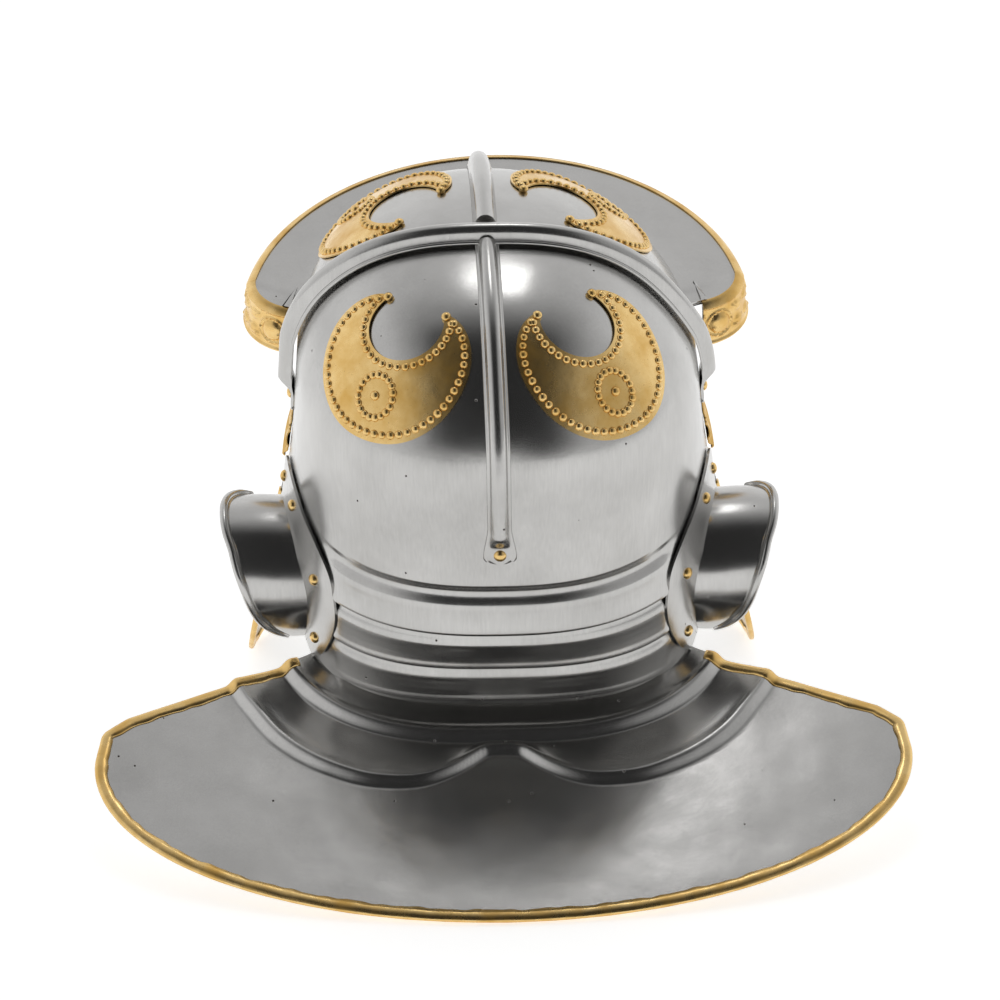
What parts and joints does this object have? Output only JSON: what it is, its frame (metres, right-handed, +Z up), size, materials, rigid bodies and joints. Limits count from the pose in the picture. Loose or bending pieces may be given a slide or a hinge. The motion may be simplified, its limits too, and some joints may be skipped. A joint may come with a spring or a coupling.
{
  "type": "roman helmet",
  "caption": "Steel roman legionary helmet with a broad sloping neck guard, crossed skull bars, brow peak, ear guards, hinged cheek guards and brass crescents.",
  "frame": {"origin": "middle of the footprint box, on the surface that the helmet stands on", "axes": "+Z up, +Y the way the wearer faces, +X to the wearer's right"},
  "size_m": [0.3902, 0.3658, 0.2916],
  "materials": {
    "steel": "polished plain steel with fine brushing marks",
    "brass": "polished warm brass",
    "dark_steel": "darker plain steel"
  },
  "bodies": {
    "helmet": {"bowl": "steel", "brow_peak": "steel", "brow_peak_trim": "brass", "brow_strip": "brass", "crescent_front_left": "brass", "crescent_front_right": "brass", "crescent_rear_left": "brass", "crescent_rear_right": "brass", "cross_bar": "steel", "cross_bar_rivet_left": "brass", "cross_bar_rivet_right": "brass", "ear_guard_left": "steel", "ear_guard_right": "steel", "ear_rivet_left_1": "brass", "ear_rivet_left_2": "brass", "ear_rivet_left_3": "brass", "ear_rivet_left_4": "brass", "ear_rivet_right_1": "brass", "ear_rivet_right_2": "brass", "ear_rivet_right_3": "brass", "ear_rivet_right_4": "brass", "front_bar": "steel", "front_bar_rivet": "brass", "hinge_leaf_bowl_left": "dark_steel", "hinge_leaf_bowl_right": "dark_steel", "hinge_pin_left": "dark_steel", "hinge_pin_right": "dark_steel", "hinge_rivet_left_1": "brass", "hinge_rivet_left_2": "brass", "hinge_rivet_right_1": "brass", "hinge_rivet_right_2": "brass", "neck_guard": "steel", "neck_guard_binding": "brass", "peak_rivet_left": "brass", "peak_rivet_right": "brass", "rear_bar": "steel", "rear_bar_rivet": "brass"},
    "cheek_left": {"cheek_guard_left": "steel", "cheek_edging_left": "brass", "hinge_leaf_cheek_left": "dark_steel", "cheek_rivet_left_1": "brass", "cheek_rivet_left_2": "brass"},
    "cheek_right": {"cheek_guard_right": "steel", "cheek_edging_right": "brass", "hinge_leaf_cheek_right": "dark_steel", "cheek_rivet_right_1": "brass", "cheek_rivet_right_2": "brass"}
  },
  "joints": [
    {"name": "cheek_left", "type": "hinge", "parent": "helmet", "child": "cheek_left", "pos_m": [-0.09991, 0.05407, 0.14294], "axis": [0.1313, 0.9529, 0.2733], "range_deg": [-20, 75]},
    {"name": "cheek_right", "type": "hinge", "parent": "helmet", "child": "cheek_right", "pos_m": [0.09991, 0.05407, 0.14294], "axis": [0.1313, -0.9529, -0.2733], "range_deg": [-20, 75]}
  ]
}
